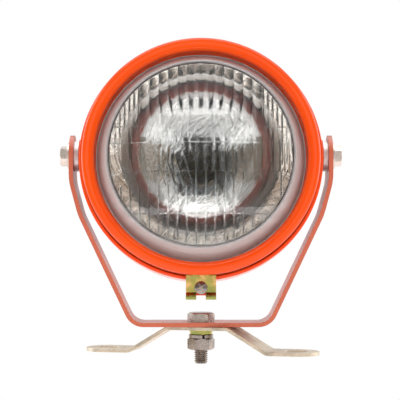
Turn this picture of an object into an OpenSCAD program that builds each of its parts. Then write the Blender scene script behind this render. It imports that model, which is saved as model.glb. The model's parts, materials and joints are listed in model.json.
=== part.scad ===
// Work light for a tractor: a round lamp head in a painted yoke that swivels on a slotted mounting strap.
// Origin: middle of the two foot slots, on the underside of the feet. The strap runs along X, +Z is up.
// At rest the head is swivelled a little towards +X and tipped a little upwards.

/* [Rest pose] */
// Swivel of the yoke and head from square across the strap, degrees
rest_yaw = 13; // [-45:0.5:45]
// Upward tip of the head, degrees
rest_tilt = 6; // [-30:0.5:30]

/* [Mounting strap] */
// Width of the strap
strap_w = 30; // [24:0.5:40]
// Thickness of the strap
strap_t = 2.5; // [1.5:0.25:4]
// Length of the strap over its round ends
strap_len = 171; // [150:1:220]
// Length of the raised flat in the middle
strap_flat = 44; // [34:1:60]
// Distance from the middle to the inner edge of each foot
foot_start = 50; // [42:1:58]
// Height of the raised flat's underside above the feet
strap_rise = 16.8; // [15:0.2:24]
// Bend radius along the middle of the strap's thickness
strap_bend_r = 6; // [4:0.5:9]
// Width of each foot slot
slot_w = 9; // [6:0.5:12]
// Length of each foot slot, end to end
slot_len = 16; // [13:0.5:22]
// Distance from each end of the strap to the middle of its slot
slot_from_end = 16.5; // [14:0.5:24]

/* [Yoke] */
// Width of the yoke's steel
yoke_w = 30; // [24:0.5:36]
// Thickness of the yoke's steel
yoke_t = 3; // [2:0.25:4]
// Gap between the swivel bolt's head and the sweep of the rim clip
head_clear = 4.65; // [3:0.05:25]
// Straight length of each arm below its pivot's spacer, down to the corner of its first bend
arm_straight = 7; // [6:0.5:12]
// Depth of each arm's knee below the pivots
knee_drop = 42; // [36:1:52]
// How far each knee lies inside the arm's end
knee_in = 6.5; // [3:0.5:7.5]
// Slope of the arms below the knees, from upright, degrees
arm_slope = 25.5; // [20:0.5:28]
// Bend radius at the top of each arm, along the middle of the steel
shoulder_bend_r = 40; // [20:5:45]
// Bend radius at each knee
knee_bend_r = 40; // [20:5:50]
// Bend radius at the bottom corners
corner_bend_r = 12.5; // [8:0.5:18]

/* [Swivel bolt] */
// Diameter of the swivel bolt
swivel_d = 10; // [8:1:12]
// Length of the swivel bolt under its head
swivel_len = 30; // [26:1:45]
// Width across flats of the swivel bolt's head and nut
swivel_af = 17; // [16:0.5:19]
// Height of the swivel bolt's head
swivel_head_h = 6.4; // [5:0.2:7.5]
// Height of the swivel nut
swivel_nut_h = 8.4; // [6:0.2:10]
// Clearance of each bolt in the hole it passes, on the radius
bolt_clear = 0.25; // [0.15:0.05:0.6]
// Top diameter of the tapered seat under the strap
seat_d = 18; // [16.5:0.5:22]
// Bottom diameter of the tapered seat
seat_foot_d = 15.5; // [14.5:0.5:16]
// Height of the tapered seat
seat_h = 3.8; // [2.5:0.2:6]
// Outer diameter of the spring washer
spring_washer_d = 17.6; // [16:0.2:20]
// Thickness of the spring washer
spring_washer_t = 2.4; // [1.6:0.1:3]
// Width of the spring washer's split
spring_washer_split = 1.6; // [0.8:0.2:2.4]

/* [Pivots] */
// Diameter of each pivot bolt
pivot_d = 8; // [6:1:9]
// Width across flats of the pivot bolts and their nuts
pivot_af = 13; // [12:0.5:14.5]
// Height of each pivot bolt's head
pivot_head_h = 5.3; // [4:0.1:6.5]
// Height of each pivot nut inside the housing
pivot_nut_h = 6.5; // [4:0.5:7]
// How far each pivot bolt runs on past its nut
pivot_tail = 1; // [0.5:0.5:2]
// Diameter of the washer under each pivot bolt's head
pivot_washer_d = 19; // [16:0.5:24]
// Thickness of that washer
pivot_washer_t = 2; // [1:0.1:3]
// Diameter of the spacer between each arm and the housing
spacer_d = 22; // [18:0.5:23]
// Thickness of that spacer
spacer_t = 3.5; // [3:0.1:6]

/* [Housing] */
// Width of the hem around the rim, out to the housing's outer wall
hem_w = 2.4; // [1.8:0.1:3.6]
// Wall of the housing
housing_t = 1.2; // [0.8:0.1:2]
// Distance of the housing's mouth in front of the pivots
housing_mouth = 17.5; // [16:0.5:20]
// Gap between the live terminal and the housing's rear
rear_gap = 17; // [3.2:0.1:20]
// Radius of the round between the housing's side and rear
housing_round_r = 46; // [30:1:50]
// Length of the hem folded inward at the housing's mouth
hem_len = 1.6; // [1.2:0.1:3]
// Height of the pivots above the lamp's axis
axis_drop = 4; // [0:0.5:5]
// Diameter of the flat pad at each pivot
pad_d = 24; // [23.5:0.5:28]
// How far each pad stands out of the housing's wall
pad_proud = 0.9; // [0.4:0.1:1.2]
// How far the ledge that carries the lamp unit reaches inside the seals
ledge_lip = 0.5; // [0:0.1:1.5]
// Gap between the ledge and each pivot nut
ledge_gap = 5; // [0.5:0.1:6]

/* [Rim] */
// Width of the rim's lip, outside the gap around the lens
rim_lip_w = 0.5; // [0.4:0.1:4]
// Width of the rim's rounded front, from its skirt in to its straight wall
rim_section = 8.9; // [8:0.1:9.8]
// Radius of the round at the rim's outer edge
rim_nose_r = 3; // [2.4:0.1:3.6]
// Depth of the rim's rounded inner slope, from its crest back to its straight wall
rim_slope_len = 4; // [3:0.5:8]
// Thickness of the rim's steel
rim_t = 1; // [0.8:0.1:1.3]
// Distance of the middle of that outer round in front of the rim's lip
rim_depth = 11.8; // [8:0.1:14]
// Length of the rim's skirt inside the housing's mouth
rim_overlap = 3.5; // [2:0.5:5]
// Gap between the rim's skirt and the housing's hem
rim_gap = 0.6; // [0.3:0.1:1]

/* [Lens] */
// Width of the lens's hidden flange, outside its skirt
lens_flange_w = 5.8; // [4.5:0.1:7]
// Thickness of that flange
lens_flange_t = 2.5; // [2:0.1:4]
// Wall of the lens
lens_t = 2.6; // [2:0.1:4]
// Outer radius of the lens's skirt at its flange
lens_base_r = 73.2; // [66:0.1:80]
// How far the skirt's front edge lies inside its foot
lens_taper = 7.2; // [3:0.1:10]
// Length of the lens's skirt in front of its flange
lens_skirt_len = 18.8; // [14:0.1:26]
// Height of the lens's dome over its front edge
lens_dome = 10; // [6:0.5:18]
// Gap between the rim's lip and the lens's skirt
lens_gap = 0.8; // [0.5:0.1:2]

/* [Seals] */
// Thickness of the seal between lens and reflector
lens_seal_t = 2; // [1:0.1:3]
// Thickness of the seal between reflector and housing
body_seal_t = 1; // [0.6:0.1:2]
// Gap between the line of the lens's skirt and both seals
seal_gap = 1.3; // [1:0.1:4]

/* [Reflector] */
// Focal length of the reflector
focal_len = 30.5; // [26:0.5:32]
// Wall of the reflector
reflector_t = 1; // [0.6:0.1:1.2]
// How far the reflector's flange reaches past the lens's flange
reflector_over = 1; // [0:0.5:2]
// Radius of the opening for the bulb
bulb_opening_r = 10.5; // [10.2:0.1:12]
// Length of the collar behind that opening
collar_len = 3; // [2:0.5:4]

/* [Bulb and holder] */
// Radius of the bulb's glass
bulb_r = 13.2; // [10:0.2:14]
// Wall of the bulb's glass
bulb_t = 0.8; // [0.5:0.1:1.2]
// Radius of the bulb's metal cap
cap_r = 7.5; // [7.4:0.1:7.6]
// Length of the bulb's cap
cap_len = 15.7; // [14:0.1:17]
// Distance from the cap's pins to the filament
light_centre = 31.8; // [30:0.1:33]
// Distance from the cap's pins to its front edge
pin_depth = 8.2; // [7:0.1:9]
// Radius of the bulb's neck
bulb_neck_r = 6.9; // [6:0.1:7.2]
// Wall of the bulb holder's sleeve
sleeve_t = 1.6; // [1.2:0.1:2]
// Radius of the bulb holder's flange
holder_flange_r = 14; // [13:0.5:18]
// Width of a blade terminal
blade_w = 6.3; // [4.8:0.1:6.5]
// Thickness of a blade terminal
blade_t = 0.8; // [0.6:0.1:1]

/* [Rim clip] */
// Width of the clip that holds the rim
clip_w = 21; // [18:0.5:26]
// Thickness of the clip
clip_t = 1.2; // [1:0.1:1.5]
// Width of the clip's tongue in the rim's slot
tongue_w = 12; // [8:0.5:15]
// Distance of the clip's plate in front of the housing's mouth
clip_ahead = 5.5; // [4:0.5:8]
// Length of the clip's plate below the rim screw's middle
clip_below_screw = 3.6; // [3.3:0.1:5]
// Run of the clip's lip, forward and down
clip_lip = 3.2; // [2:0.2:4]
// Length of the lip's lowest run
clip_foot = 2.2; // [1.6:0.2:4]
// Width of the clip's open slot
clip_notch_w = 6.6; // [5.6:0.2:8]
// Diameter of the rim screw
screw_d = 5; // [4:0.5:5]
// Diameter of the rim screw's head
screw_head_d = 9; // [8:0.5:10]
// Height of the rim screw's head
screw_head_h = 3.2; // [2.4:0.2:4]
// Length of the rim screw under its head
screw_len = 16; // [15:1:20]
// Distance of the rim screw's middle below the housing
screw_below_housing = 5.5; // [4.8:0.1:7]
// Width across flats of the square rim nut
rim_nut_af = 8; // [7:0.5:9]
// Height of the rim nut
rim_nut_h = 4; // [3:0.5:5]
// Thickness of the housing's tab for the rim screw
tab_t = 1.5; // [1:0.1:2]
// Width of the housing's tab
tab_w = 18; // [14:0.5:20]

/* [Cable entry] */
// Radius of the grommet's bore
grommet_bore_r = 3.5; // [2.5:0.25:4.5]
// Radius of the grommet's beads
grommet_r = 9; // [8:0.5:10]
// Distance of the grommet below the lamp's axis
grommet_drop = 22; // [20:0.5:26]
// Length of the grommet outside the housing
grommet_out = 4; // [3:0.5:8]
// Length of the grommet inside the housing
grommet_in = 2.2; // [1.5:0.1:2.4]

/* [Hidden] */
$fn = 64;
orange_paint = "orangered";
zinc = "tan";
bright_zinc = "silver";
// Overshoot of a cut past the face that it opens
cut = 1;
// Running clearance of a piece inside another, on the radius
snug = 0.1;
// Most degrees of a bend to one flat of its outline
bend_step = 6;

// Distance between the middles of the foot slots
slot_spacing = strap_len - 2 * slot_from_end;

// Radii about the lamp's axis, worked outward from the foot of the lens's skirt
mouth_gap = 1.4;
mouth_r = lens_base_r - lens_t - mouth_gap;
lens_front_r = lens_base_r - lens_taper;
lens_flange_r = lens_base_r + lens_flange_w;
reflector_flange_r = lens_flange_r + reflector_over;
seal_inner_r = lens_base_r + seal_gap;
ledge_r = seal_inner_r - ledge_lip;
lip_r = lens_base_r + lens_gap;
rim_wall_r = lip_r + rim_lip_w;
rim_r = rim_wall_r + rim_section;
rim_mid_r = rim_r - rim_nose_r;
hem_r = rim_r + rim_gap;
housing_r = hem_r + hem_w;

// The rim clip and its screw hang below the rim and the housing
clip_at = housing_mouth + clip_ahead;
lip_slope = 0.8;
screw_r = housing_r + screw_below_housing;
clip_bottom_r = screw_r + clip_below_screw;
clip_end_r = clip_bottom_r + clip_lip * lip_slope + clip_foot;
clip_sweep_r = norm([clip_end_r + axis_drop, clip_at + clip_lip + clip_t / 2]);
tab_drop = screw_r + rim_nut_af / 2 + 1;
tongue_r = rim_r - 3.3;
tongue_gap = 0.2;
mark_offset = 17.6;
mark_w = 1.6;

// Heights of the stack on the swivel bolt, up to the pivots, where the clip swings clear of the bolt's head
flat_top_z = strap_rise + strap_t;
yoke_floor_z = flat_top_z + yoke_t;
pivot_rise = swivel_head_h + head_clear + clip_sweep_r;
pivot_z = yoke_floor_z + pivot_rise;
seat_foot_z = strap_rise - seat_h;
spring_washer_z = seat_foot_z - spring_washer_t;
swivel_nut_z = spring_washer_z - swivel_nut_h;

// Distances out from the middle of the head along the pivots
pad_face = housing_r + pad_proud;
pad_inner = pad_face - housing_t;
arm_inner = pad_face + spacer_t;
arm_outer = arm_inner + yoke_t;
pivot_nut_face = pad_inner - pivot_nut_h;

// Distances forward of the pivots along the lamp's axis, stacked up from the housing's ledge
ledge_back = pivot_af / 2 + ledge_gap;
ledge_front = ledge_back + housing_t;
reflector_flange_back = ledge_front + body_seal_t;
reflector_front = reflector_flange_back + reflector_t;
lens_flange_back = reflector_front + lens_seal_t;
lens_flange_front = lens_flange_back + lens_flange_t;
lens_edge = lens_flange_front + lens_skirt_len;
lens_crest = lens_edge + lens_dome;
dome_r = (lens_front_r * lens_front_r + lens_dome * lens_dome) / (2 * lens_dome);

// The rim's lip rests on the lens's flange, and its skirt reaches back into the housing's mouth
rim_back = lens_flange_front;
rim_centre = rim_back + rim_depth;
rim_crest = rim_centre + rim_nose_r;
rim_slope_foot = rim_crest - rim_slope_len;
skirt_end = housing_mouth - rim_overlap;
arc_steps = 12;

// The reflector's mouth lies inside the lens, and its bowl runs back from there
vertex = reflector_front - mouth_r * mouth_r / (4 * focal_len);
focus = vertex + focal_len;
collar_end = bowl_at(bulb_opening_r) - collar_len;
bowl_steps = 24;

// The bulb sits with its filament at the focus
pins_at = focus - light_centre;
cap_front = pins_at + pin_depth;
cap_back = cap_front - cap_len;
cap_contact = 1;
bulb_mid = focus - 4.5;
sleeve_inner_r = cap_r + 3 * snug;
sleeve_r = sleeve_inner_r + sleeve_t;
contact_t = 1.5;
insulator_t = 2.1;
insulator_front = cap_back - cap_contact - contact_t;
sleeve_back = insulator_front - insulator_t;
shoulder_t = 0.6;
blade_back = sleeve_back - shoulder_t - blade_t;
housing_back = housing_t + rear_gap - blade_back;
housing_floor = housing_t - housing_back;
bulb_base = cap_front - 6;
rivet_r = 1.25;
stem_r = 2.5;
grommet_neck_r = grommet_bore_r + 3;

// Forward position of the reflector's inner face at radius r
function bowl_at(r) = vertex + r * r / (4 * focal_len);

// Unit vector from p to q, and the turn in degrees from direction u to direction v
function heading(p, q) = (q - p) / norm(q - p);
function turn(u, v) = atan2(u.x * v.y - u.y * v.x, u * v);
function left_of(u) = [-u.y, u.x];

// Heading into and out of point i of a path, and the turn there
function way_in(path, i) = heading(path[i - 1], path[i]);
function way_out(path, i) = heading(path[i], path[i + 1]);
function turn_at(path, i) = turn(way_in(path, i), way_out(path, i));

// Points of a strip's side at point i of its path, offset to the left of the way along it.
// A bend of radius mid_r gives an arc about its own centre, and an end gives one point.
function bend_side(path, i, mid_r, offset) =
    let (
        angle = turn_at(path, i),
        hand = sign(angle),
        inward = left_of(way_in(path, i)) * hand,
        centre = path[i] - way_in(path, i) * mid_r * tan(abs(angle) / 2) + inward * mid_r,
        start = atan2(-inward.y, -inward.x),
        steps = ceil(abs(angle) / bend_step)
    )
    [for (k = [0 : steps]) let (at = start + angle * k / steps) centre + (mid_r - hand * offset) * [cos(at), sin(at)]];
function strip_side(path, radii, offset) = concat(
    [path[0] + offset * left_of(way_out(path, 0))],
    [for (i = [1 : len(path) - 2]) each bend_side(path, i, radii[i], offset)],
    [path[len(path) - 1] + offset * left_of(way_in(path, len(path) - 1))]
);
function reversed(points) = [for (i = [len(points) - 1 : -1 : 0]) points[i]];

// Side view of a bent strip of thickness t, along the middle of its steel
module bent_strip(path, radii, t) {
    polygon(concat(strip_side(path, radii, t / 2), reversed(strip_side(path, radii, -t / 2))));
}

// A side view drawn in X and Z, made w wide across Y
module across(w) {
    rotate([90, 0, 0]) linear_extrude(height = w, center = true) children();
}

module round_ended(length, width) {
    square([length - width, width], center = true);
    for (side = [-1, 1]) translate([side * (length - width) / 2, 0]) circle(d = width);
}

// Hexagon with the edges of its top face, and of its bottom face if asked, turned off
module hexagon(af, h, both_ends = false) {
    corner_r = af / 2 / cos(30);
    face_r = 0.95 * af / 2;
    turned_off = (corner_r + cut - face_r) * tan(30);
    foot = both_ends ? [[face_r, 0], [corner_r + cut, turned_off]] : [[corner_r + cut, 0]];
    intersection() {
        cylinder(r = corner_r, h = h, $fn = 6);
        rotate_extrude() polygon(concat([[0, 0]], foot, [[corner_r + cut, h - turned_off], [face_r, h], [0, h]]));
    }
}

module ring(outer_r, inner_r, h) {
    difference() {
        cylinder(r = outer_r, h = h);
        translate([0, 0, -cut]) cylinder(r = inner_r, h = h + 2 * cut);
    }
}

// Frames: the yoke; the head about its pivots; the lamp, with X right, Y up and Z forward along its axis
module in_yoke() {
    rotate([0, 0, rest_yaw]) children();
}

module in_head() {
    translate([0, 0, pivot_z]) in_yoke() rotate([-rest_tilt, 0, 0]) children();
}

module in_lamp() {
    in_head() translate([0, 0, -axis_drop]) rotate([90, 0, 0]) children();
}

module turned() {
    in_lamp() rotate_extrude() children();
}

// Along a pivot, away from the head: Z runs outward from the head's middle
module on_pivot(side) {
    in_head() rotate([0, 90 * side, 0]) children();
}

module mount_strap() {
    path = [
        [-strap_len / 2, strap_t / 2],
        [-foot_start, strap_t / 2],
        [-strap_flat / 2, strap_rise + strap_t / 2],
        [strap_flat / 2, strap_rise + strap_t / 2],
        [foot_start, strap_t / 2],
        [strap_len / 2, strap_t / 2]
    ];
    radii = [0, strap_bend_r, strap_bend_r, strap_bend_r, strap_bend_r, 0];
    color(zinc) difference() {
        intersection() {
            across(strap_w) bent_strip(path, radii, strap_t);
            translate([0, 0, -cut]) linear_extrude(height = flat_top_z + 2 * cut) round_ended(strap_len, strap_w);
        }
        translate([0, 0, strap_rise - cut]) cylinder(d = swivel_d + 2 * bolt_clear, h = strap_t + 2 * cut);
        for (side = [-1, 1]) {
            translate([side * slot_spacing / 2, 0, -cut])
                linear_extrude(height = strap_t + 2 * cut) round_ended(slot_len, slot_w);
        }
    }
}

module swivel_bolt() {
    color(bright_zinc) translate([0, 0, yoke_floor_z]) {
        rotate([0, 0, 12]) hexagon(swivel_af, swivel_head_h);
        translate([0, 0, -swivel_len]) {
            translate([0, 0, cut]) cylinder(d = swivel_d, h = swivel_len);
            cylinder(d1 = swivel_d - 2 * cut, d2 = swivel_d, h = cut);
        }
    }
}

module swivel_seat() {
    color(zinc) translate([0, 0, seat_foot_z]) difference() {
        cylinder(d1 = seat_foot_d, d2 = seat_d, h = seat_h);
        translate([0, 0, -cut]) cylinder(d = swivel_d + 2 * snug, h = seat_h + 2 * cut);
    }
}

module swivel_spring_washer() {
    color(bright_zinc) translate([0, 0, spring_washer_z]) difference() {
        ring(spring_washer_d / 2, swivel_d / 2 + snug, spring_washer_t);
        rotate([0, 0, -65]) translate([0, -spring_washer_split / 2, -cut])
            cube([spring_washer_d, spring_washer_split, spring_washer_t + 2 * cut]);
    }
}

module swivel_nut() {
    color(bright_zinc) translate([0, 0, swivel_nut_z]) difference() {
        rotate([0, 0, 20]) hexagon(swivel_af, swivel_nut_h, both_ends = true);
        translate([0, 0, -cut]) cylinder(d = swivel_d + snug, h = swivel_nut_h + 2 * cut);
    }
}

// Middle line of the yoke's right half, from its pivot to its bottom corner
function arm_line() =
    let (
        arm_x = arm_inner + yoke_t / 2,
        floor_z = yoke_floor_z - yoke_t / 2,
        knee_z = pivot_z - knee_drop,
        knee_x = arm_x - knee_in
    )
    [
        [arm_x, pivot_z],
        [arm_x, pivot_z - spacer_d / 2 - arm_straight],
        [knee_x, knee_z],
        [knee_x - (knee_z - floor_z) * tan(arm_slope), floor_z]
    ];

module yoke() {
    half = arm_line();
    other_half = reversed([for (p = half) [-p.x, p.y]]);
    bends = [0, shoulder_bend_r, knee_bend_r, corner_bend_r];
    color(orange_paint) in_yoke() difference() {
        union() {
            across(yoke_w) bent_strip(concat(half, other_half), concat(bends, reversed(bends)), yoke_t);
            for (side = [-1, 1]) {
                translate([0, 0, pivot_z]) rotate([0, 90 * side, 0])
                    translate([0, 0, arm_inner]) cylinder(d = yoke_w, h = yoke_t);
            }
        }
        translate([0, 0, pivot_z]) for (side = [-1, 1]) {
            rotate([0, 90 * side, 0]) translate([0, 0, arm_inner - cut])
                cylinder(d = pivot_d + 2 * bolt_clear, h = yoke_t + 2 * cut);
        }
        translate([0, 0, flat_top_z - cut]) cylinder(d = swivel_d + 2 * bolt_clear, h = yoke_t + 2 * cut);
    }
}

// Half section of the housing's bowl, grown outward by t from its inner face
module bowl_section(t) {
    side_r = housing_r - housing_t + t;
    round_r = housing_round_r - housing_t + t;
    round_x = housing_r - housing_round_r;
    round_z = housing_round_r - housing_back;
    translate([0, round_z]) square([side_r, housing_mouth + housing_t - t - round_z]);
    translate([0, -housing_back + housing_t - t]) square([round_x, housing_back - housing_t + t + round_z]);
    translate([round_x, round_z]) intersection() {
        circle(r = round_r);
        translate([0, -round_r]) square(round_r);
    }
}

module housing() {
    in_wall = housing_r - housing_t / 2;
    color(orange_paint) difference() {
        union() {
            difference() {
                union() {
                    turned() difference() {
                        bowl_section(housing_t);
                        bowl_section(0);
                    }
                    for (side = [-1, 1]) {
                        on_pivot(side) translate([0, 0, pad_face - 3 * housing_t])
                            cylinder(d = pad_d, h = 3 * housing_t);
                    }
                }
                for (side = [-1, 1]) {
                    on_pivot(side) translate([0, 0, pad_inner - 4 * housing_t])
                        cylinder(d = pad_d - 2 * housing_t, h = 4 * housing_t);
                }
            }
            turned() {
                translate([hem_r, housing_mouth - hem_len]) square([in_wall - hem_r, hem_len]);
                translate([ledge_r, ledge_back]) square([in_wall - ledge_r, housing_t]);
            }
            in_lamp() translate([-tab_w / 2, -tab_drop, housing_mouth - tab_t])
                cube([tab_w, tab_drop - in_wall, tab_t]);
        }
        for (side = [-1, 1]) {
            on_pivot(side) translate([0, 0, pad_inner - cut])
                cylinder(d = pivot_d + 2 * bolt_clear, h = housing_t + 2 * cut);
        }
        in_lamp() translate([0, -screw_r, housing_mouth - tab_t - cut])
            cylinder(d = screw_d + 2 * bolt_clear, h = tab_t + 2 * cut);
        in_lamp() translate([0, -grommet_drop, -housing_back - cut])
            cylinder(r = grommet_neck_r + snug / 2, h = housing_t + 2 * cut);
    }
}

// Points of a quarter of an oval about a centre, between its ends at from and to degrees
function quarter(centre, size, from, to) = [
    for (k = [0 : arc_steps])
        let (at = from + (to - from) * k / arc_steps)
        centre + [size.x * cos(at), size.y * sin(at)]
];

// Points of the rim's rounded front, t behind its face, from its skirt in over the crest to its straight wall
function rim_front(t) = concat(
    quarter([rim_mid_r, rim_centre], [rim_nose_r - t, rim_nose_r - t], 0, 90),
    quarter([rim_mid_r, rim_slope_foot], [rim_section - rim_nose_r - t, rim_slope_len - t], 90, 180)
);

module rim() {
    color(orange_paint) difference() {
        turned() polygon(concat(
            [[rim_r, skirt_end]],
            rim_front(0),
            [
                [rim_wall_r, rim_back + rim_t], [lip_r, rim_back + rim_t],
                [lip_r, rim_back], [rim_wall_r + rim_t, rim_back]
            ],
            reversed(rim_front(rim_t)),
            [[rim_r - rim_t, skirt_end]]
        ));
        in_lamp() {
            translate([-tongue_w / 2 - tongue_gap, -rim_r - cut, clip_at - clip_t / 2 - tongue_gap])
                cube([tongue_w + 2 * tongue_gap, rim_t + 2 * cut, clip_t + 2 * tongue_gap]);
            for (side = [-1, 1]) {
                translate([side * mark_offset - mark_w / 2, -rim_r - cut, skirt_end - cut])
                    cube([mark_w, 2 * rim_nose_r - rim_t, rim_overlap + cut + mark_w]);
            }
        }
    }
}

module lens() {
    color("white", 0.5) turned() difference() {
        union() {
            translate([0, lens_flange_back]) square([lens_flange_r, lens_flange_t]);
            polygon([
                [0, lens_flange_front], [lens_base_r, lens_flange_front],
                [lens_front_r, lens_edge], [0, lens_edge]
            ]);
            lens_dome_section(dome_r, lens_front_r, lens_edge);
        }
        polygon([
            [0, lens_flange_back - cut], [lens_base_r - lens_t, lens_flange_back - cut],
            [lens_base_r - lens_t, lens_flange_front],
            [lens_front_r - lens_t, lens_edge - lens_t], [0, lens_edge - lens_t]
        ]);
        lens_dome_section(dome_r - lens_t, lens_front_r - lens_t, lens_edge - lens_t);
    }
}

// Cap of a circle about the dome's centre, out to radius edge_r
module lens_dome_section(r, edge_r, from) {
    intersection() {
        translate([0, lens_crest - dome_r]) circle(r = r);
        translate([0, from]) square([edge_r, 2 * lens_dome]);
    }
}

module lens_seal() {
    color("dimgray") turned() translate([seal_inner_r, reflector_front])
        square([lens_flange_r - seal_inner_r, lens_seal_t]);
}

module body_seal() {
    color("dimgray") turned() translate([seal_inner_r, ledge_front])
        square([reflector_flange_r - seal_inner_r, body_seal_t]);
}

module reflector() {
    radius_step = (mouth_r - bulb_opening_r) / bowl_steps;
    inner = [for (i = [0 : bowl_steps]) let (r = bulb_opening_r + i * radius_step) [r, bowl_at(r)]];
    outer = [
        for (i = [bowl_steps - 1 : -1 : 1])
            let (r = bulb_opening_r + i * radius_step, slope = atan(r / (2 * focal_len)))
            [r + reflector_t * sin(slope), bowl_at(r) - reflector_t * cos(slope)]
    ];
    mouth_slope = atan(mouth_r / (2 * focal_len));
    color("whitesmoke") turned() polygon(concat(
        inner,
        [
            [reflector_flange_r, reflector_front],
            [reflector_flange_r, reflector_flange_back],
            [mouth_r + reflector_t / sin(mouth_slope) - reflector_t / tan(mouth_slope), reflector_flange_back]
        ],
        outer,
        [
            [bulb_opening_r + reflector_t, bowl_at(bulb_opening_r) - reflector_t],
            [bulb_opening_r + reflector_t, collar_end],
            [bulb_opening_r, collar_end]
        ]
    ));
}

module bulb_holder() {
    pin_slot_w = 2.6;
    color(bright_zinc) difference() {
        turned() {
            translate([sleeve_inner_r, sleeve_back]) square([sleeve_t, cap_front - sleeve_back]);
            translate([sleeve_inner_r, collar_end - reflector_t])
                square([holder_flange_r - sleeve_inner_r, reflector_t]);
        }
        in_lamp() for (side = [-1, 1]) {
            translate([side * sleeve_r - sleeve_t * 2, -pin_slot_w / 2, pins_at - pin_slot_w / 2])
                cube([sleeve_t * 4, pin_slot_w, cap_front - pins_at + pin_slot_w]);
        }
    }
}

module holder_insulator() {
    color("saddlebrown") in_lamp() difference() {
        union() {
            translate([0, 0, sleeve_back]) cylinder(r = sleeve_inner_r - snug, h = insulator_t);
            translate([0, 0, sleeve_back - shoulder_t]) cylinder(r = sleeve_r, h = shoulder_t);
        }
        translate([0, 0, sleeve_back - shoulder_t - cut]) cylinder(r = rivet_r + snug, h = insulator_t + shoulder_t + 2 * cut);
    }
}

module live_contact() {
    color("goldenrod") in_lamp() {
        translate([0, 0, insulator_front]) cylinder(r = 2 * rivet_r, h = contact_t);
        translate([0, 0, blade_back + blade_t / 2]) cylinder(r = rivet_r, h = insulator_front - blade_back);
        translate([-blade_w / 2, -blade_w / 2, blade_back]) cube([sleeve_r + blade_w + blade_w / 2, blade_w, blade_t]);
    }
}

module earth_terminal() {
    foot_back = collar_end - reflector_t - blade_t;
    color("goldenrod") in_lamp() {
        translate([-blade_w / 2, sleeve_r + 4 * snug, foot_back]) cube([blade_w, holder_flange_r - sleeve_r - 5 * snug, blade_t]);
        translate([-blade_w / 2, holder_flange_r - blade_t - snug, foot_back - blade_w * 1.5])
            cube([blade_w, blade_t, blade_w * 1.5 + blade_t / 2]);
    }
}

module bulb_cap() {
    pin_r = 1;
    pin_reach = cap_r + 1.1;
    color("khaki") in_lamp() {
        difference() {
            translate([0, 0, cap_back]) cylinder(r = cap_r, h = cap_len);
            translate([0, 0, bulb_base]) cylinder(r = bulb_neck_r + snug / 2, h = cap_len);
        }
        translate([0, 0, cap_back - cap_contact]) cylinder(r = rivet_r * 1.5, h = cap_contact + cut);
        for (side = [-1, 1]) {
            translate([side * bulb_neck_r, 0, pins_at]) rotate([0, 90 * side, 0])
                cylinder(r = pin_r, h = pin_reach - bulb_neck_r);
        }
    }
}

// Half section of the bulb's glass, with its wall taken off all round
module bulb_section(wall) {
    intersection() {
        translate([0, bulb_mid]) circle(r = bulb_r - wall);
        translate([0, bulb_mid - bulb_r]) square(2 * bulb_r);
    }
    translate([0, bulb_base + wall]) square([bulb_neck_r - wall, bulb_mid - bulb_base - wall]);
}

module bulb_glass() {
    color("white", 0.4) turned() difference() {
        bulb_section(0);
        bulb_section(bulb_t);
    }
}

module bulb_stem() {
    color("white", 0.4) in_lamp() translate([0, 0, bulb_base + bulb_t]) {
        cylinder(r = stem_r, h = 8);
        translate([0, 0, 8]) cylinder(r1 = stem_r, r2 = stem_r / 2, h = stem_r);
    }
}

module bulb_filament() {
    wire_r = 0.3;
    coil_r = 0.7;
    wire_x = stem_r + wire_r + snug;
    color("dimgray") in_lamp() {
        for (side = [-1, 1]) {
            translate([side * wire_x, 0, bulb_base + bulb_t]) cylinder(r = wire_r, h = focus - bulb_base - bulb_t);
        }
        translate([-wire_x - wire_r, 0, focus]) rotate([0, 90, 0]) cylinder(r = coil_r, h = 2 * (wire_x + wire_r));
    }
}

// Bent clip: its tongue hooks into the rim's slot and its open slot takes the rim screw
module rim_clip() {
    lip_z = clip_at + clip_lip;
    notch_len = clip_end_r - screw_r + cut;
    path = [
        [clip_at, -tongue_r],
        [clip_at, -clip_bottom_r],
        [lip_z, clip_foot - clip_end_r],
        [lip_z, -clip_end_r]
    ];
    radii = [0, clip_t, clip_t, 0];
    color(zinc) in_lamp() difference() {
        rotate([0, -90, 0]) linear_extrude(height = clip_w, center = true) bent_strip(path, radii, clip_t);
        difference() {
            translate([0, 0, clip_at - clip_t]) cylinder(r = rim_r + snug, h = 2 * clip_t);
            translate([-tongue_w / 2, -rim_r - cut, clip_at - clip_t]) cube([tongue_w, rim_section, 2 * clip_t]);
        }
        translate([0, -screw_r, clip_at - clip_t]) {
            cylinder(d = clip_notch_w, h = 2 * clip_t);
            translate([-clip_notch_w / 2, -notch_len, 0]) cube([clip_notch_w, notch_len, 2 * clip_t + clip_lip]);
        }
    }
}

module rim_screw() {
    head_at = clip_at + clip_t / 2;
    slot = 1.1;
    color(bright_zinc) in_lamp() translate([0, -screw_r, 0]) difference() {
        union() {
            translate([0, 0, head_at - screw_len]) cylinder(d = screw_d, h = screw_len + cut);
            intersection() {
                translate([0, 0, head_at]) cylinder(d = screw_head_d, h = screw_head_h);
                translate([0, 0, head_at + screw_head_h - screw_head_d * 0.9]) sphere(r = screw_head_d * 0.9);
            }
        }
        for (angle = [30, 120]) {
            rotate([0, 0, angle]) translate([-screw_head_d, -slot / 2, head_at + screw_head_h - slot])
                cube([2 * screw_head_d, slot, 2 * slot]);
        }
    }
}

module rim_nut() {
    color(bright_zinc) in_lamp() translate([0, -screw_r, housing_mouth - tab_t - rim_nut_h]) difference() {
        translate([-rim_nut_af / 2, -rim_nut_af / 2, 0]) cube([rim_nut_af, rim_nut_af, rim_nut_h]);
        translate([0, 0, -cut]) cylinder(d = screw_d + snug, h = rim_nut_h + 2 * cut);
    }
}

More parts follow.
